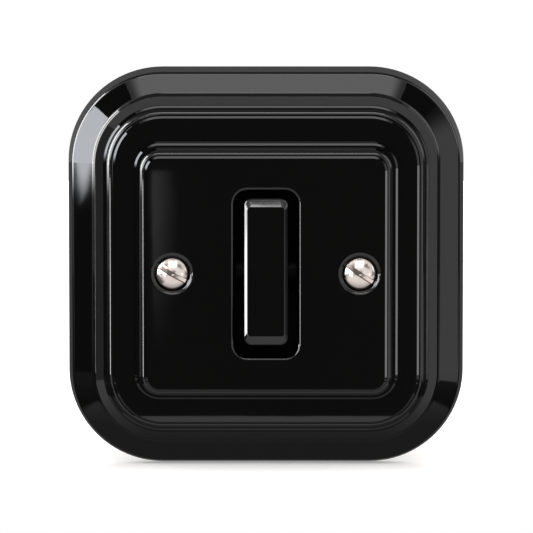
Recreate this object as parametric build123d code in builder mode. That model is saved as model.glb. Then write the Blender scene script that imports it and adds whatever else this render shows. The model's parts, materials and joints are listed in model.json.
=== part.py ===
from build123d import *
import os
from math import cos, radians, sin

# Flush light switch with a porcelain frame, plate and rocker, in millimetres.
# The wall is the plane y = 0, the front faces -Y, X is right and Z is up.
# The steel strap lies on the wall, and the mechanism behind it sits in the wall box.
# A depth is a distance in front of the wall, a reach is a distance behind it.

# Frame: a moulding that runs round a rounded square
frame_width = 90.0
frame_height = 91.0
frame_corner = 21.5
rim_draft = 0.9
rim_rise = 4.2
rim_round = 0.9
bevel_width = 4.8
bevel_rise = 2.0
cove_width = 0.4
cove_rise = 0.9
cove_round = 0.9
band_width = 1.9
band_rise = 0.35
band_round = 0.1
edge_draft = 0.1
collar_width = 0.65
collar_rise = 0.5
bead_width = 1.3
bead_rise = 1.7
bead_round = 1.15
lip_rise = 0.35
facet_width = 0.45
facet_drop = 0.18
rim_land = 6.0
cavity_draft = 0.6
cavity_shoulder = 2.1
cavity_round = 0.9
frame_wall = 4.5
land_width = 2.0

# Cover plate: a stepped plate on the frame, with a spigot in the frame's opening
plate_height = 58.6
plate_corner = 5.7
plate_rise = 6.0
plate_wall = 4.6
step_width = 1.25
step_rise = 2.0
shoulder_width = 1.2
shoulder_rise = 5.3
shoulder_round = 1.05
spigot_depth = 2.0
spigot_wall = 3.0
spigot_clearance = 0.3
plate_side_lap = 3.85
plate_end_lap = 2.8
opening_corner = 2.5
boss_radius = 4.6

# Rocker slot in the plate
slot_width = 14.4
slot_height = 38.0
slot_corner = 3.0
slot_round = 0.75

# Cover screws, their recesses in the plate and their bushes on the strap
screw_spacing = 42.5
screw_diameter = 3.5
screw_length = 10.0
head_diameter = 7.0
head_edge = 1.6
head_dome = 1.2
head_slot_width = 0.95
head_slot_depth = 1.0
head_slot_end = 0.3
head_slot_turns = (-29.0, -34.0)
recess_depth = 2.3
recess_clearance = 0.3
recess_round = 1.1
recess_margin = 0.8
screw_clearance = 0.25
thread_clearance = 0.03
bush_diameter = 6.0
bush_spigot_diameter = 4.6
bush_spigot_clearance = 0.02
bush_gap = 0.4

# Steel strap with slotted holes for the wall box screws
strap_inset = 9.5
strap_corner = 6.0
strap_thickness = 1.2
strap_window = 29.0
window_corner = 2.0
box_screw_spacing = 60.0
box_slot_length = 6.0
box_slot_width = 3.6

# Rocker cap, in its own tilted frame: heights are measured out from the pivot
pivot_depth = 8.4
rest_tilt = 5.0
rocker_width = 10.0
rocker_length = 33.4
rocker_corner = 1.8
rocker_face_height = 10.1
rocker_skirt_height = 3.2
face_width = 8.5
face_length = 29.3
face_corner = 0.8
face_bevel_rise = 0.8
face_round = 0.35
bevel_foot_round = 0.6
pocket_width = 6.8
pocket_length = 24.0
pocket_depth = 4.0
pocket_clearance = 0.1

# Cradle, pivot pin, plunger and spring
pin_diameter = 2.4
pin_sink = 0.5
pin_press = 0.01
pin_running = 0.05
hub_radius = 2.9
hub_float = 0.2
tongue_depth = 4.0
tube_radius = 2.9
tube_length = 8.0
bore_end = 2.2
plunger_diameter = 4.0
plunger_running = 0.06
plunger_reach = 12.5
tip_radius = 1.5
spring_length = 2.8
spring_wire = 0.5
spring_turns = 4
spring_clearance = 0.15
spring_end_gap = 0.01

# Bearing lid over the contact chamber
lid_thickness = 2.4
lid_clearance = 0.2
lid_corner = 1.6
lid_flange_height = 43.0
lid_opening_width = 7.4
lid_opening_height = 9.6
ear_thickness = 1.6
ear_clearance = 0.3
ear_radius = 2.6
ear_foot = 12.0

# See-saw contact and its buttons
seesaw_width = 5.0
seesaw_arm = 11.0
seesaw_thickness = 1.0
seesaw_tilt = 8.0
saddle_width = 3.6
fulcrum_radius = 0.6
fulcrum_running = 0.06
tip_gap = 0.1
button_arm = 9.0
button_radius = 1.5
button_edge = 0.4
button_dome = 0.6
contact_gap = 0.05
fixed_button_thickness = 0.8

# Terminal strips, clamps and screws
strip_width = 6.0
strip_thickness = 1.0
pad_start = 6.4
foot_end = 19.6
terminal_place = 15.5
clamp_size = 7.0
clamp_thickness = 1.2
terminal_screw_diameter = 3.0
terminal_head_diameter = 5.4
terminal_head_height = 2.0
terminal_screw_length = 6.0
fitting_slot_width = 0.8
fitting_slot_depth = 1.0

# Steatite base
base_size = 44.0
base_corner = 6.5
base_edge = 0.8
chamber_width = 13.0
chamber_height = 24.4
chamber_corner = 2.0
floor_wall = 3.2
pocket_rise = 5.5
terminal_pocket_width = 10.0
strip_clearance = 0.1

# Screws that hold the strap and the lid on the base
strap_screw_diameter = 3.0
strap_head_diameter = 5.4
strap_head_height = 1.8
strap_head_margin = 0.3
strap_screw_length = 8.0
lid_screw_place = 11.0
lid_screw_diameter = 2.5
lid_head_diameter = 4.4
lid_head_height = 1.6
lid_screw_length = 8.0
fastener_clearance = 0.1

# Width of the plate, from its screws out to its edge
recess_radius = head_diameter / 2 + recess_clearance
recess_reach = recess_radius + recess_round + recess_margin
plate_width = screw_spacing + 2 * (recess_reach + facet_width + shoulder_width + step_width)

# Depths in front of the wall
collar_face = rim_rise + bevel_rise + cove_rise + band_rise + collar_rise
bead_face = collar_face + bead_rise
frame_face = bead_face + lip_rise
plate_face = frame_face + plate_rise
plate_back = frame_face - spigot_depth
plate_ceiling = plate_face - plate_wall
screw_seat = plate_face - recess_depth
bush_top = plate_back - bush_gap

# Reaches behind the wall
plunger_tip = plunger_reach - pivot_depth
seesaw_front = plunger_tip + tip_gap
saddle_rise = fulcrum_radius + fulcrum_running
seesaw_axis = seesaw_front + seesaw_thickness + saddle_rise
dome_radius = (button_radius**2 + button_dome**2) / (2 * button_dome)
button_top = button_edge + button_dome - saddle_rise
closed_tip = dome_radius + button_arm * sin(radians(seesaw_tilt))
closed_tip -= (dome_radius - button_top) * cos(radians(seesaw_tilt))
fixed_front = seesaw_axis + closed_tip + contact_gap
pad_front = fixed_front + fixed_button_thickness
chamber_floor = pad_front + strip_thickness
foot_seat = chamber_floor + floor_wall
base_depth = foot_seat + pocket_rise

# Planes: front looks out of the wall, and the rocker's and see-saw's lean as they rest
front = Plane(origin=(0, 0, 0), x_dir=(1, 0, 0), z_dir=(0, -1, 0))
back = Plane(origin=(0, 0, 0), x_dir=(-1, 0, 0), z_dir=(0, 1, 0))
tilt = radians(rest_tilt)
lean = radians(seesaw_tilt)
rocker_out = (0, -cos(tilt), sin(tilt))
rocker_plane = Plane(origin=(0, -pivot_depth, 0), x_dir=(1, 0, 0), z_dir=rocker_out)
rocker_side = Plane(origin=(0, -pivot_depth, 0), x_dir=rocker_out, z_dir=(-1, 0, 0))
seesaw_out = (0, -cos(lean), -sin(lean))
seesaw_side = Plane(origin=(0, seesaw_axis, 0), x_dir=seesaw_out, z_dir=(-1, 0, 0))

os.makedirs("parts", exist_ok=True)


def write(piece, name):
    """Label a finished piece and write it to its own file."""
    piece.part.label = name
    export_step(piece.part, f"parts/{name}.step")


# Frame: the moulding's section, seen from above at the right-hand side, swept round the rim,
# and a flat web from there to the opening
opening_width = plate_width - 2 * plate_side_lap
opening_height = plate_height - 2 * plate_end_lap
section_plane = Plane(origin=(frame_width / 2, 0, 0), x_dir=(-1, 0, 0), z_dir=(0, 0, 1))
bevel_end = rim_draft + bevel_width
band_start = bevel_end + cove_width
band_end = band_start + band_width
collar_start = band_end + edge_draft
collar_end = collar_start + collar_width
bead_start = collar_end + edge_draft
bead_end = bead_start + bead_width
lip_start = bead_end + edge_draft
land_start = lip_start + facet_width
land_end = land_start + land_width
web_inset = land_end - land_width / 2
cavity_ceiling = frame_face - frame_wall
cavity_start = rim_land + cavity_draft
section_corners = [
    ((0, 0), 0),
    ((rim_draft, rim_rise), rim_round),
    ((bevel_end, rim_rise + bevel_rise), cove_round),
    ((band_start, rim_rise + bevel_rise + cove_rise), band_round),
    ((band_end, collar_face - collar_rise), 0),
    ((collar_start, collar_face - facet_drop), 0),
    ((collar_start + facet_width, collar_face), 0),
    ((collar_end, collar_face), 0),
    ((bead_start, bead_face), bead_round),
    ((bead_end, bead_face), 0),
    ((lip_start, frame_face - facet_drop), 0),
    ((land_start, frame_face), 0),
    ((land_end, frame_face), 0),
    ((land_end, cavity_ceiling), 0),
    ((land_start, cavity_ceiling), cavity_round),
    ((cavity_start, cavity_shoulder), cavity_round),
    ((rim_land, 0), 0),
]
with BuildPart() as outer_frame:
    with BuildSketch(front, mode=Mode.PRIVATE) as rim_outline:
        RectangleRounded(frame_width, frame_height, frame_corner)
    with BuildSketch(section_plane) as moulding:
        with BuildLine():
            points = [corner for corner, rounding in section_corners]
            roundings = [rounding for corner, rounding in section_corners]
            FilletPolyline(*points, radius=roundings, close=True)
        make_face()
    sweep(path=rim_outline.sketch.wire())
    with BuildSketch(front.offset(cavity_ceiling)):
        RectangleRounded(frame_width - 2 * web_inset, frame_height - 2 * web_inset, frame_corner - web_inset)
        RectangleRounded(opening_width, opening_height, opening_corner, mode=Mode.SUBTRACT)
    extrude(amount=frame_wall)
write(outer_frame, "outer_frame")

# Cover plate: three steps, the middle one round and the others with a narrow facet,
# hollow behind, with screw bosses and the rocker's slot
spigot_width = opening_width - 2 * spigot_clearance
spigot_height = opening_height - 2 * spigot_clearance
spigot_corner = opening_corner - spigot_clearance
hollow_width = spigot_width - 2 * spigot_wall
hollow_height = spigot_height - 2 * spigot_wall
plate_tiers = (
    (0, step_rise),
    (step_width, shoulder_rise),
    (step_width + shoulder_width, plate_rise),
)
with BuildPart() as cover_plate:
    for inset, rise in plate_tiers:
        with BuildSketch(front.offset(frame_face)):
            RectangleRounded(plate_width - 2 * inset, plate_height - 2 * inset, plate_corner - inset)
        extrude(amount=rise)
        tier_face = cover_plate.faces().sort_by(Axis.Y)[0]
        if rise == shoulder_rise:
            fillet(tier_face.edges(), shoulder_round)
        else:
            chamfer(tier_face.edges(), facet_width, facet_drop, reference=tier_face)
    with BuildSketch(front.offset(plate_back)):
        RectangleRounded(spigot_width, spigot_height, spigot_corner)
    extrude(amount=spigot_depth)
    with BuildSketch(front.offset(plate_back)):
        Rectangle(hollow_width, hollow_height)
    extrude(amount=plate_ceiling - plate_back, mode=Mode.SUBTRACT)
    with BuildSketch(front.offset(plate_back)):
        with GridLocations(screw_spacing, 0, 2, 1):
            Circle(boss_radius)
        Rectangle(spigot_width, spigot_height, mode=Mode.INTERSECT)
    extrude(amount=plate_ceiling - plate_back)
    with BuildSketch(front.offset(screw_seat)):
        with GridLocations(screw_spacing, 0, 2, 1):
            Circle(recess_radius)
    extrude(amount=recess_depth, mode=Mode.SUBTRACT)
    with BuildSketch(front.offset(plate_back)):
        with GridLocations(screw_spacing, 0, 2, 1):
            Circle(screw_diameter / 2 + screw_clearance)
    extrude(amount=screw_seat - plate_back, mode=Mode.SUBTRACT)
    with BuildSketch(front.offset(plate_ceiling)):
        RectangleRounded(slot_width, slot_height, slot_corner)
    extrude(amount=plate_wall, mode=Mode.SUBTRACT)
    openings = cover_plate.faces().sort_by(Axis.Y)[0].inner_wires()
    slot_lip = openings.sort_by(SortBy.LENGTH)[-1]
    recess_rims = openings.sort_by(SortBy.LENGTH)[:-1]
    fillet(slot_lip.edges(), slot_round)
    fillet([rim.edges() for rim in recess_rims], recess_round)
write(cover_plate, "cover_plate")

# Rocker cap: bevelled on all four sides, hollow behind for the cradle's tongue
bevel_start = rocker_face_height - face_bevel_rise
with BuildPart() as rocker:
    with BuildSketch(rocker_plane.offset(rocker_skirt_height)):
        RectangleRounded(rocker_width, rocker_length, rocker_corner)
    extrude(amount=bevel_start - rocker_skirt_height)
    with BuildSketch(rocker_plane.offset(bevel_start)):
        RectangleRounded(rocker_width, rocker_length, rocker_corner)
    with BuildSketch(rocker_plane.offset(rocker_face_height)):
        RectangleRounded(face_width, face_length, face_corner)
    loft(ruled=True)
    outward = Axis(rocker_plane.origin, rocker_out)
    bevel_foot = rocker.edges().filter_by_position(outward, bevel_start - 0.01, bevel_start + 0.01)
    fillet(bevel_foot, bevel_foot_round)
    rocker_face = rocker.faces().sort_by(outward)[-1]
    fillet(rocker_face.edges(), face_round)
    with BuildSketch(rocker_plane.offset(rocker_skirt_height)):
        Rectangle(pocket_width, pocket_length)
    extrude(amount=pocket_depth, mode=Mode.SUBTRACT)
write(rocker, "rocker")

# Cradle: a tapered tongue in the cap, a hub on the pin and a tube for the plunger
tongue_top = rocker_skirt_height + pocket_depth
tongue_width = pocket_width - 2 * pocket_clearance
tongue_half = pocket_length / 2 - pocket_clearance
ear_inner = rocker_width / 2 + ear_clearance
hub_length = 2 * (ear_inner - hub_float)
tongue_corners = [
    (tongue_top, -tongue_half),
    (tongue_top, tongue_half),
    (tongue_top - tongue_depth, tongue_half),
    (0, tube_radius),
    (0, -tube_radius),
    (tongue_top - tongue_depth, -tongue_half),
]
with BuildPart() as rocker_cradle:
    with BuildSketch(rocker_side):
        with BuildLine():
            Polyline(*tongue_corners, close=True)
        make_face()
    extrude(amount=tongue_width / 2, both=True)
    with BuildSketch(rocker_side):
        Circle(hub_radius)
    extrude(amount=hub_length / 2, both=True)
    with BuildSketch(rocker_plane.offset(-tube_length)):
        Circle(tube_radius)
    extrude(amount=tube_length)
    with BuildSketch(rocker_plane.offset(-tube_length)):
        Circle(plunger_diameter / 2 + plunger_running)
    extrude(amount=tube_length - bore_end, mode=Mode.SUBTRACT)
    with BuildSketch(rocker_side):
        Circle(pin_diameter / 2 + pin_running)
    extrude(amount=hub_length / 2, both=True, mode=Mode.SUBTRACT)
write(rocker_cradle, "rocker_cradle")

# Pivot pin
pin_half = ear_inner + ear_thickness - pin_sink
with BuildPart() as pivot_pin:
    with BuildSketch(rocker_side):
        Circle(pin_diameter / 2)
    extrude(amount=pin_half, both=True)
write(pivot_pin, "pivot_pin")

# Plunger: a round-nosed pin in the cradle's bore
shank_start = bore_end + spring_length
with BuildPart() as plunger:
    with BuildSketch(rocker_side):
        with BuildLine():
            nose = plunger_reach - tip_radius
            Polyline((-nose, 0), (-shank_start, 0), (-shank_start, plunger_diameter / 2))
            Line((-shank_start, plunger_diameter / 2), (-tube_length, plunger_diameter / 2))
            Line((-tube_length, plunger_diameter / 2), (-nose, tip_radius))
            CenterArc((-nose, 0), tip_radius, 90, 90)
            Line((-plunger_reach, 0), (-nose, 0))
        make_face()
    revolve(axis=Axis(rocker_plane.origin, rocker_out))
write(plunger, "plunger")

# Spring between the plunger and the end of its bore
spring_radius = plunger_diameter / 2 - spring_clearance - spring_wire / 2
spring_rise = spring_length - spring_wire - 2 * spring_end_gap
spring_start = rocker_plane.offset(spring_wire / 2 + spring_end_gap - shank_start).origin
with BuildPart() as plunger_spring:
    with BuildLine() as coil:
        Helix(spring_rise / spring_turns, spring_rise, spring_radius, spring_start, rocker_out)
    with BuildSketch(Plane(coil.line @ 0, z_dir=coil.line % 0)):
        Circle(spring_wire / 2)
    sweep(path=coil.line, is_frenet=True)
write(plunger_spring, "plunger_spring")

# Strap: stamped plate with a window for the lid and holes for bushes and screws
strap_screw_place = strap_window / 2 + strap_head_margin + strap_head_diameter / 2
strap_screw_places = [(-strap_screw_place, strap_screw_place), (strap_screw_place, -strap_screw_place)]
with BuildPart() as mounting_strap:
    with BuildSketch(front):
        RectangleRounded(frame_width - 2 * strap_inset, frame_height - 2 * strap_inset, strap_corner)
        RectangleRounded(strap_window, strap_window, window_corner, mode=Mode.SUBTRACT)
        with GridLocations(screw_spacing, 0, 2, 1):
            Circle(bush_spigot_diameter / 2 + bush_spigot_clearance, mode=Mode.SUBTRACT)
        with GridLocations(box_screw_spacing, 0, 2, 1):
            SlotOverall(box_slot_length, box_slot_width, mode=Mode.SUBTRACT)
        with Locations(*strap_screw_places):
            Circle(strap_screw_diameter / 2 + fastener_clearance, mode=Mode.SUBTRACT)
    extrude(amount=strap_thickness)
write(mounting_strap, "mounting_strap")

# Bushes: tapped pillars with a riveted spigot in the strap
with BuildPart() as cover_bushes:
    with BuildSketch(front):
        with GridLocations(screw_spacing, 0, 2, 1):
            Circle(bush_spigot_diameter / 2)
    extrude(amount=strap_thickness)
    with BuildSketch(front.offset(strap_thickness)):
        with GridLocations(screw_spacing, 0, 2, 1):
            Circle(bush_diameter / 2)
    extrude(amount=bush_top - strap_thickness)
    with BuildSketch(front):
        with GridLocations(screw_spacing, 0, 2, 1):
            Circle(screw_diameter / 2 + thread_clearance)
    extrude(amount=bush_top, mode=Mode.SUBTRACT)
write(cover_bushes, "cover_bushes")

# Cover screws: high domed heads, each with its slot turned as it was left, and the slot's floor
# a flatter dome
cover_dome = ((head_diameter / 2) ** 2 + head_dome**2) / (2 * head_dome)
head_top = screw_seat + head_edge + head_dome
screw_xs = (-screw_spacing / 2, screw_spacing / 2)
screw_corners = [
    (0, -head_top),
    (0, screw_length - screw_seat),
    (screw_diameter / 2, screw_length - screw_seat),
    (screw_diameter / 2, -screw_seat),
    (head_diameter / 2, -screw_seat),
    (head_diameter / 2, -screw_seat - head_edge),
]
floor_corners = [
    (0, head_slot_depth - head_top),
    (0, -screw_seat),
    (head_diameter / 2, -screw_seat),
    (head_diameter / 2, head_slot_end - screw_seat - head_edge),
]
slot_cut = head_dome + head_slot_end
floor_dome = slot_cut - head_slot_depth
floor_radius = ((head_diameter / 2) ** 2 + floor_dome**2) / (2 * floor_dome)
with BuildPart() as cover_screws:
    for x, turn in zip(screw_xs, head_slot_turns):
        lengthwise = Plane(origin=(x, 0, 0), x_dir=(1, 0, 0), z_dir=(0, 0, 1))
        screw_axis = Axis((x, 0, 0), (0, 1, 0))
        with BuildSketch(lengthwise):
            with BuildLine():
                Polyline(*screw_corners)
                RadiusArc(screw_corners[-1], screw_corners[0], cover_dome)
            make_face()
        revolve(axis=screw_axis)
        with BuildSketch(front.offset(head_top - slot_cut)):
            with Locations((x, 0)):
                Rectangle(head_diameter, head_slot_width, rotation=turn)
        extrude(amount=slot_cut, mode=Mode.SUBTRACT)
        with BuildSketch(lengthwise):
            with BuildLine():
                Polyline(*floor_corners)
                RadiusArc(floor_corners[-1], floor_corners[0], floor_radius)
            make_face()
        revolve(axis=screw_axis)
write(cover_screws, "cover_screws")

# Bearing lid: a block in the strap's window, a flange over the strap and two ears for the pivot pin
lid_size = strap_window - 2 * lid_clearance
lid_screw_places = [(-lid_screw_place, 0), (lid_screw_place, 0)]
with BuildPart() as bearing_lid:
    with BuildSketch(front):
        RectangleRounded(lid_size, lid_size, lid_corner)
    extrude(amount=lid_thickness)
    with BuildSketch(front.offset(strap_thickness)):
        RectangleRounded(lid_size, lid_flange_height, lid_corner)
    extrude(amount=lid_thickness - strap_thickness)
    with BuildSketch(front):
        Rectangle(lid_opening_width, lid_opening_height)
        with Locations(*lid_screw_places):
            Circle(lid_screw_diameter / 2 + fastener_clearance)
    extrude(amount=lid_thickness, mode=Mode.SUBTRACT)
    for side in (-1, 1):
        with BuildSketch(Plane.YZ.offset(side * ear_inner)):
            with Locations((-pivot_depth, 0)):
                Circle(ear_radius)
            with Locations((-lid_thickness / 2, 0)):
                Rectangle(lid_thickness, ear_foot)
            make_hull()
            with Locations((-pivot_depth, 0)):
                Circle(pin_diameter / 2 + pin_press, mode=Mode.SUBTRACT)
        extrude(amount=side * ear_thickness)
write(bearing_lid, "bearing_lid")

# Steatite base: the contact chamber in front, three terminal pockets behind
leg_outer = chamber_height / 2 - strip_clearance
leg_inner = leg_outer - strip_thickness
pocket_inner = leg_inner - strip_clearance
pocket_span = base_size / 2 - pocket_inner
common_inner = strip_width / 2 + strip_clearance
common_span = base_size / 2 + common_inner
terminal_places = [(0, terminal_place), (0, -terminal_place), (-terminal_place, 0)]
terminal_hole_depth = terminal_screw_length - clamp_thickness - strip_thickness + fastener_clearance
with BuildPart() as mechanism_base:
    with BuildSketch(back):
        RectangleRounded(base_size, base_size, base_corner)
    extrude(amount=base_depth)
    fillet(mechanism_base.faces().sort_by(Axis.Y)[-1].edges(), base_edge)
    with BuildSketch(back):
        RectangleRounded(chamber_width, chamber_height, chamber_corner)
    extrude(amount=chamber_floor, mode=Mode.SUBTRACT)
    with BuildSketch(back.offset(foot_seat)):
        for side in (-1, 1):
            with Locations((0, side * (pocket_inner + pocket_span / 2))):
                Rectangle(terminal_pocket_width, pocket_span)
        with Locations((common_inner - common_span / 2, 0)):
            Rectangle(common_span, terminal_pocket_width)
    extrude(amount=pocket_rise, mode=Mode.SUBTRACT)
    with BuildSketch(back.offset(chamber_floor)):
        with GridLocations(0, leg_outer + leg_inner, 1, 2):
            Rectangle(strip_width + 2 * strip_clearance, strip_thickness + 2 * strip_clearance)
        Rectangle(strip_width + 2 * strip_clearance, 2 * (fulcrum_radius + strip_clearance))
    extrude(amount=floor_wall, mode=Mode.SUBTRACT)
    with BuildSketch(back.offset(foot_seat)):
        with Locations(*terminal_places):
            Circle(terminal_screw_diameter / 2 + fastener_clearance)
    extrude(amount=-terminal_hole_depth, mode=Mode.SUBTRACT)
    with BuildSketch(front):
        with Locations(*strap_screw_places):
            Circle(strap_screw_diameter / 2 + fastener_clearance)
    extrude(amount=-strap_screw_length, mode=Mode.SUBTRACT)
    with BuildSketch(front):
        with Locations(*lid_screw_places):
            Circle(lid_screw_diameter / 2 + fastener_clearance)
    extrude(amount=-lid_screw_length, mode=Mode.SUBTRACT)
write(mechanism_base, "mechanism_base")


def slotted_screws(seat, places, diameter, length, head_diameter, head_height):
    """Cheese-head screws with their heads on a seat plane and their shanks behind it."""
    with BuildPart() as screws:
        with BuildSketch(seat):
            with Locations(*places):
                Circle(head_diameter / 2)
        extrude(amount=head_height)
        with BuildSketch(seat.offset(head_height)):
            with Locations(*places):
                Rectangle(head_diameter, fitting_slot_width)
        extrude(amount=-fitting_slot_depth, mode=Mode.SUBTRACT)
        with BuildSketch(seat):
            with Locations(*places):
                Circle(diameter / 2)
        extrude(amount=-length)
    return screws


strap_seat = front.offset(strap_thickness)
strap_screws = slotted_screws(
    strap_seat,
    strap_screw_places,
    strap_screw_diameter,
    strap_screw_length,
    strap_head_diameter,
    strap_head_height,
)
write(strap_screws, "strap_screws")

lid_screws = slotted_screws(
    front.offset(lid_thickness),
    lid_screw_places,
    lid_screw_diameter,
    lid_screw_length,
    lid_head_diameter,
    lid_head_height,
)
write(lid_screws, "lid_screws")

# Terminal strips of the two switched ways: a pad in the chamber, a leg and a foot behind
foot_back = foot_seat + strip_thickness
for name, side in (("upper_terminal", 1), ("lower_terminal", -1)):
    strip_corners = [
        ((pad_front, side * pad_start), 0),
        ((pad_front, side * leg_outer), strip_thickness),
        ((foot_seat, side * leg_outer), 0),
        ((foot_seat, side * foot_end), 0),
        ((foot_back, side * foot_end), 0),
        ((foot_back, side * leg_inner), strip_thickness),
        ((chamber_floor, side * leg_inner), 0),
        ((chamber_floor, side * pad_start), 0),
    ]
    with BuildPart() as terminal:
        with BuildSketch(Plane.YZ):
            with BuildLine():
                points = [corner for corner, rounding in strip_corners]
                roundings = [rounding for corner, rounding in strip_corners]
                FilletPolyline(*points, radius=roundings, close=True)
            make_face()
        extrude(amount=strip_width / 2, both=True)
        with BuildSketch(back.offset(foot_seat)):
            with Locations((0, side * terminal_place)):
                Circle(terminal_screw_diameter / 2 + fastener_clearance)
        extrude(amount=strip_thickness, mode=Mode.SUBTRACT)
    write(terminal, name)

# Common terminal: an upright tongue whose rounded edge is the fulcrum, and a foot
with BuildPart() as common_terminal:
    with BuildSketch(Plane.YZ):
        with Locations((seesaw_axis, 0)):
            Circle(fulcrum_radius)
        with Locations(((seesaw_axis + foot_back) / 2, 0)):
            Rectangle(foot_back - seesaw_axis, 2 * fulcrum_radius)
    extrude(amount=strip_width / 2, both=True)
    with BuildSketch(back.offset(foot_seat)):
        with Locations(((strip_width / 2 - foot_end) / 2, 0)):
            Rectangle(foot_end + strip_width / 2, strip_width)
        with Locations((-terminal_place, 0)):
            Circle(terminal_screw_diameter / 2 + fastener_clearance, mode=Mode.SUBTRACT)
    extrude(amount=strip_thickness)
write(common_terminal, "common_terminal")

# Clamps under the terminal screws
with BuildPart() as terminal_clamps:
    with BuildSketch(back.offset(foot_back)):
        with Locations(*terminal_places):
            Rectangle(clamp_size, clamp_size)
            Circle(terminal_screw_diameter / 2 + fastener_clearance, mode=Mode.SUBTRACT)
    extrude(amount=clamp_thickness)
write(terminal_clamps, "terminal_clamps")

terminal_screws = slotted_screws(
    back.offset(foot_back + clamp_thickness),
    terminal_places,
    terminal_screw_diameter,
    terminal_screw_length,
    terminal_head_diameter,
    terminal_head_height,
)
write(terminal_screws, "terminal_screws")

# See-saw contact: a strip with a grooved saddle on the fulcrum, at rest with its lower arm in
seesaw_rise = saddle_rise + seesaw_thickness
with BuildPart() as seesaw_contact:
    with BuildSketch(seesaw_side):
        with Locations((saddle_rise + seesaw_thickness / 2, 0)):
            Rectangle(seesaw_thickness, 2 * seesaw_arm)
        with Locations((seesaw_rise / 2, 0)):
            Rectangle(seesaw_rise, saddle_width)
        Circle(fulcrum_radius + fulcrum_running, mode=Mode.SUBTRACT)
    extrude(amount=seesaw_width / 2, both=True)
write(seesaw_contact, "seesaw_contact")

# Domed silver buttons behind the see-saw's arms
button_corners = [
    (-button_edge - button_dome, 0),
    (0, 0),
    (0, button_radius),
    (-button_edge, button_radius),
]
with BuildPart() as moving_contacts:
    for side in (-1, 1):
        button_seat = seesaw_side.from_local_coords(Vector(saddle_rise, side * button_arm, 0))
        with BuildSketch(Plane(button_seat, x_dir=seesaw_out, z_dir=(-1, 0, 0))):
            with BuildLine():
                Polyline(*button_corners)
                RadiusArc(button_corners[-1], button_corners[0], -dome_radius)
            make_face()
        revolve(axis=Axis(button_seat, seesaw_out))
write(moving_contacts, "moving_contacts")

# Flat silver buttons on the two pads
with BuildPart() as fixed_contacts:
    with BuildSketch(back.offset(fixed_front)):
        with GridLocations(0, 2 * button_arm * cos(lean), 1, 2):
            Circle(button_radius)
    extrude(amount=fixed_button_thickness)
write(fixed_contacts, "fixed_contacts")
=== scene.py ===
import json
import math

import bpy
from mathutils import Matrix, Vector


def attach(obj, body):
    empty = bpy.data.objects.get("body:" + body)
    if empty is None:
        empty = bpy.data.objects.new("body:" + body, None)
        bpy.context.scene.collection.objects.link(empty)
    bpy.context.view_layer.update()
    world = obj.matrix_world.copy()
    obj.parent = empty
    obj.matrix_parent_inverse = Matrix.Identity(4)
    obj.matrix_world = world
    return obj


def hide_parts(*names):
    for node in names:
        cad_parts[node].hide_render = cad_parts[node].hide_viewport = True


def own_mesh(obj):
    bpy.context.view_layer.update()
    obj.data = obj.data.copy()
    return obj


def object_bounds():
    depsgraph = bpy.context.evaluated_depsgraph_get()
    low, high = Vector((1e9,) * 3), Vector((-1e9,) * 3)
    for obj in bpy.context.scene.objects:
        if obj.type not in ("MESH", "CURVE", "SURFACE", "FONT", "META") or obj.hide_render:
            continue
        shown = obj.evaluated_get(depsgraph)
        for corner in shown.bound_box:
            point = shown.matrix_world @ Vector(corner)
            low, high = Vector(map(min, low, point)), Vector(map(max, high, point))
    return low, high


# A flush light switch in black glazed porcelain, standing on a white table in a dim studio.
# Metres, in the part's own frame: X right, Z up, the front faces -Y.
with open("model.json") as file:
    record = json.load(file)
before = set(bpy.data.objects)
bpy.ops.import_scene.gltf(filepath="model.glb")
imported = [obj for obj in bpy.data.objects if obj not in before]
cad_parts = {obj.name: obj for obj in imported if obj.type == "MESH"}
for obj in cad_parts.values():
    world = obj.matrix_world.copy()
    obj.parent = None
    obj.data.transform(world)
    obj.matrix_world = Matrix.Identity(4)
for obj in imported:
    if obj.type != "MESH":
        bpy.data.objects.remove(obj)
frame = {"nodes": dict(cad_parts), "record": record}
cad_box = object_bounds()
MM = 0.001
WHITE, COOL_WHITE = "#ffffff", "#f4f8ff"


def linear(code):
    """An sRGB hex colour as the linear RGBA that shader sockets take."""
    def channel(start):
        level = int(code[start:start + 2], 16) / 255
        return level / 12.92 if level <= 0.04045 else ((level + 0.055) / 1.055) ** 2.4
    return (channel(1), channel(3), channel(5), 1.0)


def add(tree, kind, settings=None, **inputs):
    """Adds one node: settings are its properties, inputs its sockets' values or the outputs that feed
    them. A socket goes by its name, or by its number after an underscore."""
    node = tree.nodes.new(kind)
    for name, value in (settings or {}).items():
        setattr(node, name, value)
    for name, value in inputs.items():
        key = name.replace("_", " ")
        socket = node.inputs[int(key[1:])] if key[1:].isdigit() else node.inputs[key]
        if isinstance(value, bpy.types.NodeSocket):
            tree.links.new(value, socket)
        else:
            socket.default_value = value
    return node


def calc(tree, operation, first, second=0.0):
    """The result of one math node on one or two values or outputs."""
    return add(tree, "ShaderNodeMath", {"operation": operation}, _0=first, _1=second).outputs[0]


def ramp(tree, value, ends, levels, smooth=False):
    """Turns a value between two ends into one between two levels, and holds it beyond them."""
    return add(
        tree, "ShaderNodeMapRange", {"interpolation_type": "SMOOTHSTEP" if smooth else "LINEAR"},
        _0=value, _1=ends[0], _2=ends[1], _3=levels[0], _4=levels[1],
    ).outputs[0]


def spread(tree, pattern, low, high):
    """Spreads the middle of a noise pattern, where most of it lies, over a range of values."""
    return ramp(tree, pattern, (0.3, 0.7), (low, high))


def tones(tree, factor, dark, light):
    """A colour ramp from one hex colour to another."""
    node = add(tree, "ShaderNodeValToRGB", Fac=factor)
    first, last = node.color_ramp.elements
    first.color, last.color = linear(dark), linear(light)
    return node.outputs["Color"]


def blend(tree, factor, first, second):
    """A mix of two colours."""
    return add(
        tree, "ShaderNodeMix", {"data_type": "RGBA"}, Factor=factor, _6=first, _7=second
    ).outputs[2]


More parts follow.
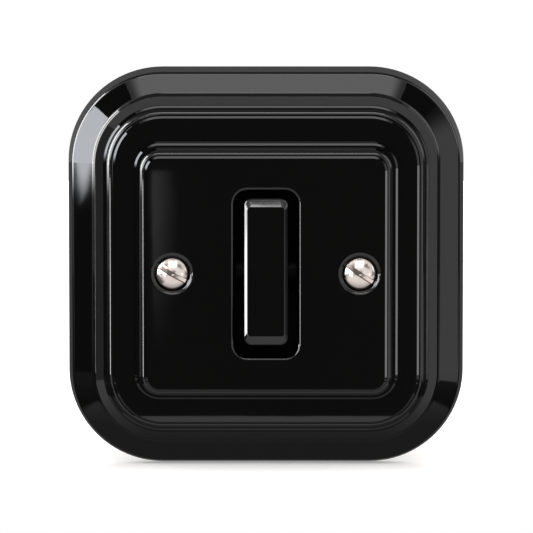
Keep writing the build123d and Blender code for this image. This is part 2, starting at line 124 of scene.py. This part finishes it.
def noise(tree, place, size_mm, detail, distortion=0.0):
    """A noise pattern with features of a size in millimetres."""
    return add(
        tree, "ShaderNodeTexNoise",
        Vector=place, Scale=1 / (size_mm * MM), Detail=detail, Distortion=distortion,
    ).outputs[0]


def stretched(tree, place, scale):
    """Coordinates that draw a pattern out along the axes with a small scale."""
    return add(tree, "ShaderNodeMapping", Vector=place, Scale=scale).outputs[0]


def bumped(tree, height, strength, depth_mm):
    """Normals of a surface that rises and falls with a pattern."""
    return add(tree, "ShaderNodeBump", Strength=strength, Distance=depth_mm * MM, Height=height).outputs[0]


def start_material(name):
    """An empty node material and its Object coordinates."""
    material = bpy.data.materials.new(name)
    material.use_nodes = True
    tree = material.node_tree
    tree.nodes.clear()
    place = add(tree, "ShaderNodeTexCoord").outputs["Object"]
    return material, tree, place


def finish_material(tree, shader):
    add(tree, "ShaderNodeOutputMaterial", Surface=shader.outputs[0])


# Black glazed porcelain: cast, dipped in black glaze and fired. The melted glaze pulls into a
# mirror with a faint slow waviness, and is a hair thinner and browner in drifts.
def glazed_porcelain():
    material, tree, place = start_material("black_glazed_porcelain")
    drift = noise(tree, place, 22, 2.0)
    wave = noise(tree, place, 9, 1.0)
    finish_material(tree, add(
        tree, "ShaderNodeBsdfPrincipled",
        Base_Color=tones(tree, drift, "#050505", "#080706"),
        Roughness=spread(tree, drift, 0.018, 0.032),
        IOR=1.52, Normal=bumped(tree, wave, 0.02, 0.2),
    ))
    return material


# Polished nickel plate: warm white mirror over turned brass, with hairlines left by the buffing wheel,
# and painted brown shade along both edges of each head's slot, standing in for the slot's shaded walls.
SCREW_X = 21.25 * MM
SLOT_TURNS = (29.0, 34.0)  # of the left and the right screw's slot, in degrees from level
SLOT_HALF = 0.475 * MM
# Painted slot shade: full strength up to the first distance from the slot's edge, gone at the second
SLOT_SHADE_CORE, SLOT_SHADE_END = 0.05 * MM, 0.13 * MM
SLOT_SHADE_STRENGTH = 0.85


def across_slot(tree, place, x, turn):
    """How far a point lies to one side of the middle of a screw's slot."""
    angle = math.radians(turn)
    from_screw = add(tree, "ShaderNodeVectorMath", {"operation": "SUBTRACT"}, _0=place, _1=(x, 0.0, 0.0))
    return add(
        tree, "ShaderNodeVectorMath", {"operation": "DOT_PRODUCT"},
        _0=from_screw.outputs[0], _1=(math.sin(angle), 0.0, math.cos(angle)),
    ).outputs["Value"]


def polished_nickel():
    material, tree, place = start_material("polished_nickel_plate")
    lines = noise(tree, stretched(tree, place, (1.0, 1.0, 0.12)), 0.25, 2.0)
    axes = add(tree, "ShaderNodeSeparateXYZ", Vector=place).outputs
    aside = add(
        tree, "ShaderNodeMix", Factor=calc(tree, "GREATER_THAN", axes["X"], 0.0),
        _2=across_slot(tree, place, -SCREW_X, SLOT_TURNS[0]),
        _3=across_slot(tree, place, SCREW_X, SLOT_TURNS[1]),
    ).outputs[0]
    # Painted shade: the plate turns brown along both edges of each screw's slot
    from_edge = calc(tree, "ABSOLUTE", calc(tree, "SUBTRACT", calc(tree, "ABSOLUTE", aside), SLOT_HALF))
    painted_slot_shade = ramp(tree, from_edge, (SLOT_SHADE_CORE, SLOT_SHADE_END), (SLOT_SHADE_STRENGTH, 0.0))
    plate = tones(tree, lines, "#d8cac3", "#e8ddd7")
    finish_material(tree, add(
        tree, "ShaderNodeBsdfPrincipled",
        Base_Color=blend(tree, painted_slot_shade, plate, linear("#6f5544")),
        Roughness=spread(tree, lines, 0.14, 0.22),
        Metallic=1.0, Normal=bumped(tree, lines, 0.05, 0.01),
    ))
    return material


# A metal with a grain: long streaks along one axis and cloudy patches of a second tone. The grain is the
# streaks' scale along X, Y and Z, small along the axis that draws them out.
def grained_metal(name, dark, light, roughness, grain, streak_mm):
    material, tree, place = start_material(name)
    streak = noise(tree, stretched(tree, place, grain), streak_mm, 3.0)
    cloud = noise(tree, place, 7, 3.0)
    both = calc(tree, "MULTIPLY", calc(tree, "ADD", streak, cloud), 0.5)
    finish_material(tree, add(
        tree, "ShaderNodeBsdfPrincipled",
        Base_Color=tones(tree, spread(tree, both, 0.0, 1.0), dark, light),
        Roughness=spread(tree, both, roughness - 0.06, roughness + 0.08),
        Metallic=1.0, Normal=bumped(tree, streak, 0.12, 0.03),
    ))
    return material


# Steatite: pressed and fired soapstone, unglazed. Matt cream with fine specks and a chalky bloom.
def fired_steatite():
    material, tree, place = start_material("fired_steatite")
    cloud = noise(tree, place, 8, 4.0)
    speck = noise(tree, place, 0.5, 2.0)
    specks = ramp(tree, speck, (0.64, 0.72), (0.0, 1.0))
    body = tones(tree, spread(tree, cloud, 0.0, 1.0), "#d9cfb9", "#e9e1cf")
    finish_material(tree, add(
        tree, "ShaderNodeBsdfPrincipled",
        Base_Color=blend(tree, specks, body, linear("#b8a88a")),
        Roughness=spread(tree, cloud, 0.55, 0.72),
        IOR=1.58, Normal=bumped(tree, speck, 0.25, 0.05),
    ))
    return material


# A moulded plastic: even body with faint flow marks and the mould's fine satin grain.
def moulded_plastic(name, dark, light, roughness, shine):
    material, tree, place = start_material(name)
    flow = noise(tree, place, 5, 3.0, distortion=1.5)
    grain = noise(tree, place, 0.3, 1.0)
    finish_material(tree, add(
        tree, "ShaderNodeBsdfPrincipled",
        Base_Color=tones(tree, spread(tree, flow, 0.0, 1.0), dark, light),
        Roughness=spread(tree, flow, roughness - 0.05, roughness + 0.05),
        Specular_IOR_Level=shine, Normal=bumped(tree, grain, 0.15, 0.02),
    ))
    return material


porcelain = glazed_porcelain()
nickel = polished_nickel()
# Zinc-plated strip: bluish grey, rolled along X
zinc = grained_metal("zinc_plated_steel", "#8d9196", "#b9bdc1", 0.34, (0.06, 1.0, 1.0), 0.5)
# Steel pin coloured near black as painted shade, so it stays dark down in the slot instead of glinting, with
# a faint drawn grain
pin_dark_as_shade = grained_metal("steel_pin_dark_as_shade", "#121316", "#202226", 0.36, (0.1, 1.0, 1.0), 0.3)
# Drawn spring wire: darker than the strip, with drawn lines
wire = grained_metal("drawn_spring_steel", "#6d7074", "#9a9da0", 0.3, (1.0, 1.0, 0.2), 0.3)
# Turned brass: yellow and bright, its marks drawn out along the screw
turned = grained_metal("turned_brass", "#a9823c", "#d2ab5f", 0.22, (1.0, 0.1, 1.0), 0.3)
# Rolled brass strip: duller, with browner clouds
rolled = grained_metal("rolled_brass_strip", "#957238", "#c09a52", 0.32, (1.0, 1.0, 0.08), 0.4)
# Contact silver: pale, faintly tarnished
silver = grained_metal("contact_silver", "#a8a49b", "#dcd9d2", 0.28, (1.0, 1.0, 1.0), 0.4)
stone = fired_steatite()
# Black phenolic: pressed hot, near black and dull beside the glaze
phenolic = moulded_plastic("moulded_black_phenolic", "#060505", "#0d0c0b", 0.5, 0.08)
# Natural nylon: milky, a little yellow, with a soft sheen
nylon = moulded_plastic("moulded_natural_nylon", "#d8d2c2", "#ebe6d9", 0.42, 0.5)

FINISHES = {
    "outer_frame": porcelain,
    "cover_plate": porcelain,
    "rocker": porcelain,
    "cover_screws": nickel,
    "mounting_strap": zinc,
    "cover_bushes": turned,
    "mechanism_base": stone,
    "strap_screws": zinc,
    "bearing_lid": phenolic,
    "lid_screws": zinc,
    "pivot_pin": pin_dark_as_shade,
    "rocker_cradle": phenolic,
    "plunger": nylon,
    "seesaw_contact": rolled,
    "moving_contacts": silver,
    "common_terminal": rolled,
    "upper_terminal": rolled,
    "lower_terminal": rolled,
    "fixed_contacts": silver,
    "terminal_clamps": rolled,
    "terminal_screws": turned,
}
for name, material in FINISHES.items():
    slots = frame["nodes"][name].data.materials
    slots.clear()
    slots.append(material)


# Plunger spring: wound anew to the imported spring's size, in its place, and carried with the rocker's body
SPRING_WIRE = 0.5 * MM
SPRING_TURNS = 4.0
SPRING_STEPS, WIRE_SIDES = 32, 12  # per turn, and round the wire


def spring_tree(material):
    """A coil of round wire that stands on the XY plane, and the identifiers of its named sizes."""
    tree = bpy.data.node_groups.new("wound_spring", "GeometryNodeTree")
    sizes = ("Radius", "Height", "Turns", "Wire Radius")
    keys = {
        size: tree.interface.new_socket(size, in_out="INPUT", socket_type="NodeSocketFloat").identifier
        for size in sizes
    }
    tree.interface.new_socket("Spring", in_out="OUTPUT", socket_type="NodeSocketGeometry")
    given = add(tree, "NodeGroupInput").outputs
    coil = add(
        tree, "GeometryNodeCurveSpiral", Resolution=SPRING_STEPS, Rotations=given["Turns"],
        Start_Radius=given["Radius"], End_Radius=given["Radius"], Height=given["Height"],
    )
    section = add(
        tree, "GeometryNodeCurvePrimitiveCircle", Resolution=WIRE_SIDES, Radius=given["Wire Radius"]
    )
    wound = add(
        tree, "GeometryNodeCurveToMesh",
        Curve=coil.outputs[0], Profile_Curve=section.outputs[0], Fill_Caps=True,
    )
    whole = add(tree, "GeometryNodeRealizeInstances", Geometry=wound.outputs[0])
    dressed = add(tree, "GeometryNodeSetMaterial", Geometry=whole.outputs[0], Material=material)
    add(tree, "NodeGroupOutput", Spring=dressed.outputs[0])
    return tree, keys


def middle(values):
    return (min(values) + max(values)) / 2


def plunger_spring():
    """The spring in its place in the cradle, carried with the rocker's body."""
    slide = next(j for j in frame["record"]["behaviour"]["joints"] if j["name"] == "plunger_slide")
    along = Vector(slide["axis"]).normalized()
    side = Vector((1.0, 0.0, 0.0))
    up = along.cross(side)
    packed = [corner.co for corner in frame["nodes"]["plunger_spring"].data.vertices]
    ends = [point.dot(along) for point in packed]
    across = [point.dot(side) for point in packed]
    centre = side * middle(across) + up * middle([point.dot(up) for point in packed])
    length = max(ends) - min(ends)

    tree, keys = spring_tree(wire)
    spring = bpy.data.objects.new("plunger_spring_coil", bpy.data.meshes.new("plunger_spring_coil"))
    bpy.context.scene.collection.objects.link(spring)
    winding = spring.modifiers.new("winding", "NODES")
    winding.node_group = tree
    winding[keys["Radius"]] = (max(across) - min(across) - SPRING_WIRE) / 2
    winding[keys["Height"]] = length - SPRING_WIRE
    winding[keys["Turns"]] = SPRING_TURNS
    winding[keys["Wire Radius"]] = SPRING_WIRE / 2
    wound = bpy.data.meshes.new_from_object(spring.evaluated_get(bpy.context.evaluated_depsgraph_get()))
    spring.modifiers.remove(winding)
    foot = centre + along * (min(ends) + SPRING_WIRE / 2)
    wound.transform(Matrix.Translation(foot) @ Matrix((-side, -up, along)).transposed().to_4x4())
    spring.data = wound

    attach(spring, "rocker_body")
    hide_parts("plunger_spring")
    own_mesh(spring)


plunger_spring()


def staged(name, corners, faces, material):
    """A mesh of the studio, which isn't part of the switch."""
    mesh = bpy.data.meshes.new(name)
    mesh.from_pydata(corners, [], faces)
    mesh.materials.append(material)
    piece = bpy.data.objects.new(name, mesh)
    bpy.context.scene.collection.objects.link(piece)
    return piece


def for_reflections(piece):
    """A card or flag that shows only as a reflection in the switch."""
    piece.visible_camera = False
    piece.visible_diffuse = False
    piece.visible_transmission = False
    piece.visible_shadow = False


def glow(name, strength, colour=WHITE, rise=None, fade=None):
    """An even light, or one that rises to its strength from a weaker one between two heights, or that
    fades to a weaker one between two places across."""
    material, tree, place = start_material(name)
    axes = add(tree, "ShaderNodeSeparateXYZ", Vector=place).outputs
    if rise:
        weak, *heights = rise
        strength = ramp(tree, axes["Z"], heights, (weak, strength), smooth=True)
    if fade:
        weak, *places = fade
        strength = ramp(tree, axes["X"], places, (strength, weak), smooth=True)
    finish_material(tree, add(tree, "ShaderNodeEmission", Color=linear(colour), Strength=strength))
    return material


def toward(azimuth, elevation, distance):
    """A point seen from the switch: azimuth from straight ahead to the right, in degrees."""
    a, e = math.radians(azimuth), math.radians(elevation)
    flat = distance * math.cos(e)
    return Vector((flat * math.sin(a), -flat * math.cos(a), distance * math.sin(e)))


def between(first, last, share):
    return first + (last - first) * share


def card(
    name, azimuths, elevations, distance, strength, colour=WHITE, across=8, up=8,
    foot=None, rise=None, fade=None,
):
    """A curved card round the switch, between two azimuths and two elevations. A card that tapers has
    other azimuths at its foot. Its rise is a weaker strength and the two elevations between which that
    grows to the full one, its fade a weaker strength and the two azimuths between which the light sinks
    to that."""
    foot = foot or azimuths
    corners = []
    for j in range(up + 1):
        left = between(foot[0], azimuths[0], j / up)
        right = between(foot[1], azimuths[1], j / up)
        elevation = between(*elevations, j / up)
        corners += [toward(between(left, right, i / across), elevation, distance) for i in range(across + 1)]
    faces = []
    for j in range(up):
        for i in range(across):
            k = j * (across + 1) + i
            faces.append((k, k + 1, k + across + 2, k + across + 1))
    if rise:
        rise = (rise[0], *(toward(0, elevation, distance).z for elevation in rise[1:]))
    if fade:
        fade = (fade[0], *(toward(azimuth, 0, distance).x for azimuth in fade[1:]))
    for_reflections(staged(name, corners, faces, glow(name, strength, colour, rise, fade)))


# Studio round the table, as the glaze and the screws mirror it. Distances are in metres, and nearer cards
# cover farther ones.
STUDIO, BAND, PANEL, CARD, FLAG, PATCH = 1.4, 1.0, 0.72, 0.7, 0.6, 0.55
# A dim room with a pale ceiling and a grey band at eye level
card("dark_studio_front", (-110, 110), (-90, 22), STUDIO, 0.10, across=40, up=18)
card("pale_ceiling", (-110, 110), (22, 90), STUDIO, 0.9, across=40, up=12)
card("dim_studio_back", (110, 250), (-90, 90), STUDIO, 0.30, across=30, up=24)
card("room_band", (-60, 58), (-32, 22), BAND, 1.0, across=40)
# At the left, softboxes for the white lines down the mouldings, and a panel that lights the upper part
# of the frame's bevel and runs out in a point
LEFT_RISE = (0.5, -5.8, -4.6)
card("left_softbox", (-104, -72), (-30, 45), CARD, 20.0, rise=LEFT_RISE)
card("left_softbox_edge", (-72, -58), (-30, 45), CARD, 11.0, rise=LEFT_RISE)
card("left_front_panel", (-58, -31), (-13, 23), PANEL, 11.5, COOL_WHITE, rise=(0.05, -3.0, 4.5))
card(
    "left_panel_tongue", (-49.75, -45.3), (-6.0, 5.5), CARD, 11.5, COOL_WHITE,
    foot=(-48.70, -48.66), rise=(2.0, -6.0, -5.2),
)
# Overhead, softboxes that grey the top bevel and fade toward its corners, and a strip for the rocker's
# upper edge
card("top_softbox_left", (-27, 0), (24, 44.5), CARD, 2.5, fade=(0.6, -13.5, -20))
card("top_softbox_right", (0, 27), (24, 44.5), CARD, 2.5, fade=(0.6, 13.5, 20))
card("rocker_strip", (-6, 6), (44.5, 45.01), CARD, 14.0)
card("overhead_softbox", (-25, 25), (45.7, 51), CARD, 6.5)
# At the right, a card that is dark low down, and a strip for the thin lines down the mouldings
card("right_side_card", (62, 104), (-30, 50), CARD, 2.0, rise=(0.15, -3.0, 9.0))
card("right_strip", (43, 46.4), (-10.8, -4), CARD, 3.8)
# Black flags that keep the coves and the flat faces deep, with a faint patch for the plate's left side
card("overhead_flag", (-110, 110), (56, 90), FLAG, 0.2, across=40)
card("front_flag", (-13, 13), (-14, 9), FLAG, 0.07)
card(
    "front_patch", (-3.5, -2.6), (-10.6, -4.65), PATCH, 0.74,
    rise=(0.07, -10.5, -5.6), fade=(0.07, -3.75, -2.65),
)
card("left_dim_flag", (-31, -13), (-13, 8), FLAG, 0.35)
# A bright strip at the left, for the lines down the collar and the plate's edge
card("left_strip", (-41, -33), (-10.8, -5), FLAG, 25.0)
# Black gaps between the lights at both upper corners, the right one with a soft lower end
card("left_gap_flag", (-43, -26.3), (22.5, 36), FLAG, 0.05)
card("right_gap_flag", (26.3, 43), (22.5, 36), FLAG, 0.05)
card("right_corner_fade", (36, 52), (9, 22.5), FLAG, 1.0, rise=(0.12, 22.5, 9))

# Table: matt white paper under the switch, white to the camera away from its foot, with a painted shadow
# round the foot on top of its real shadow
TABLE_TOP = cad_box[0].z
TABLE_FRONT, TABLE_BACK, TABLE_HALF = -0.085, 0.5, 0.35
# The painted shadow's footprint, how far it reaches, and the lowest level of the paper's own light in it
FOOT_HALF, FOOT_BACK = 25 * MM, 2 * MM
PAINTED_SHADOW_REACH, PAINTED_SHADOW_LEVEL = 45 * MM, 0.31
# The paper's painted reflection: painted shade near the foot with light ahead of it, and painted dark sides,
# which have white beyond them
IMAGE_AHEAD, IMAGE_LEVELS = (15 * MM, 55 * MM), (0.22, 0.95)
SIDE_LEVEL = 0.13
SIDES_START, RIGHT_END = (58 * MM, 62 * MM), (97 * MM, 103 * MM)
FRONT_START, FRONT_HALF = (56 * MM, 60 * MM), (82 * MM, 88 * MM)


def matt_paper():
    material, tree, place = start_material("matt_white_paper")
    rays = add(tree, "ShaderNodeLightPath").outputs
    axes = add(tree, "ShaderNodeSeparateXYZ", Vector=place).outputs
    sideways = calc(tree, "ABSOLUTE", axes["X"])
    ahead = calc(tree, "MULTIPLY", axes["Y"], -1.0)

    # To the camera it also gives off light, less near the switch's foot: a painted shadow there, over the
    # real shadow
    beside = calc(tree, "SUBTRACT", sideways, FOOT_HALF)
    behind = calc(tree, "SUBTRACT", axes["Y"], FOOT_BACK)
    away = calc(tree, "MAXIMUM", calc(tree, "MAXIMUM", beside, ahead), behind)
    glow_with_painted_shadow = ramp(tree, away, (0.0, PAINTED_SHADOW_REACH), (PAINTED_SHADOW_LEVEL, 1.0))
    glow_with_painted_shadow = calc(tree, "MULTIPLY", rays["Is Camera Ray"], glow_with_painted_shadow)
    matt = add(tree, "ShaderNodeBsdfDiffuse", Color=linear("#f2efec"))
    light = add(tree, "ShaderNodeEmission", Color=linear(WHITE), Strength=glow_with_painted_shadow)
    lit = add(tree, "ShaderNodeAddShader", _0=matt.outputs[0], _1=light.outputs[0])

    # Mirrored in the glaze and the nickel, it shows a painted reflection, not its lit self: painted shade
    # near the foot and white ahead, painted dark at both sides, but white again in front and further to the
    # right
    near = ramp(tree, sideways, SIDES_START, (1.0, SIDE_LEVEL))
    far = ramp(tree, axes["X"], RIGHT_END, (SIDE_LEVEL, 1.0))
    front = ramp(tree, ahead, FRONT_START, (SIDE_LEVEL, 1.0))
    front = calc(tree, "MINIMUM", front, ramp(tree, sideways, FRONT_HALF, (1.0, SIDE_LEVEL)))
    sides = calc(tree, "MAXIMUM", calc(tree, "MAXIMUM", near, far), front)
    dim = calc(tree, "MULTIPLY", ramp(tree, ahead, IMAGE_AHEAD, IMAGE_LEVELS), sides)
    painted_reflection = add(tree, "ShaderNodeEmission", Color=linear(WHITE), Strength=dim)

    mirrored = calc(tree, "MAXIMUM", rays["Is Glossy Ray"], rays["Is Transmission Ray"])
    finish_material(tree, add(
        tree, "ShaderNodeMixShader", Fac=mirrored, _1=lit.outputs[0], _2=painted_reflection.outputs[0]
    ))
    return material


def lying(name, front, back, height, material):
    """A sheet that lies flat across the table, between two distances from the wall's plane."""
    corners = [
        (-TABLE_HALF, front, height), (TABLE_HALF, front, height),
        (TABLE_HALF, back, height), (-TABLE_HALF, back, height),
    ]
    return staged(name, corners, [(0, 1, 2, 3)], material)


lying("table", TABLE_FRONT, TABLE_BACK, TABLE_TOP, matt_paper())
# A dark sheet on the table behind the switch, seen only in reflections: painted shade standing in for the
# paper's shade there, which gives the rim a dark edge against the white
BACK_SHADE_FRONT, BACK_SHADE_LIFT = 0.5 * MM, 0.1 * MM
for_reflections(lying(
    "painted_back_shade", BACK_SHADE_FRONT, TABLE_BACK, TABLE_TOP + BACK_SHADE_LIFT, glow("painted_back_shade", 0.12)
))

# World: white to the camera and in reflections, a plain soft level for the light itself
world = bpy.data.worlds.new("studio")
bpy.context.scene.world = world
world.use_nodes = True
tree = world.node_tree
tree.nodes.clear()
rays = add(tree, "ShaderNodeLightPath").outputs
seen = calc(tree, "MAXIMUM", rays["Is Camera Ray"], rays["Is Glossy Ray"])
seen = calc(tree, "MAXIMUM", seen, rays["Is Transmission Ray"])
soft = add(tree, "ShaderNodeBackground", Color=linear(WHITE), Strength=0.55)
white = add(tree, "ShaderNodeBackground", Color=linear(WHITE), Strength=1.0)
mixed = add(tree, "ShaderNodeMixShader", Fac=seen, _1=soft.outputs[0], _2=white.outputs[0])
add(tree, "ShaderNodeOutputWorld", Surface=mixed.outputs[0])

# Lamps: three soft squares that light the paper and the plain surfaces, and aren't mirrored
LAMP_DISTANCE, LAMP_SIZE = 1.0, 0.8


def facing(thing, name, place, target):
    """An object that looks from its place to a target."""
    holder = bpy.data.objects.new(name, thing)
    holder.location = place
    holder.rotation_mode = "QUATERNION"
    holder.rotation_quaternion = (target - place).to_track_quat("-Z", "Y")
    bpy.context.scene.collection.objects.link(holder)
    return holder


def lamp(name, azimuth, elevation, power):
    light = bpy.data.lights.new(name, "AREA")
    light.shape = "SQUARE"
    light.size = LAMP_SIZE
    light.energy = power
    holder = facing(light, name, toward(azimuth, elevation, LAMP_DISTANCE), Vector())
    holder.visible_glossy = False


lamp("key_lamp", -50, 45, 2.5)
lamp("fill_lamp", 50, 40, 2.0)
lamp("back_lamp", 160, 40, 2.5)

# Camera: a long lens a little above the switch, aimed at its middle
IMAGE_WIDTH = 121.2 * MM
DISTANCE, ELEVATION = 1.8, 8.0
AIM = Vector((0.1 * MM, -7.0 * MM, 0.5 * MM))
camera = bpy.data.cameras.new("camera")
camera.sensor_width = 36.0
camera.lens = camera.sensor_width * DISTANCE / IMAGE_WIDTH
camera.clip_start, camera.clip_end = 0.01, 100.0
bpy.context.scene.camera = facing(camera, "camera", AIM + toward(0, ELEVATION, DISTANCE), AIM)

bpy.context.scene.view_settings.view_transform = "Standard"
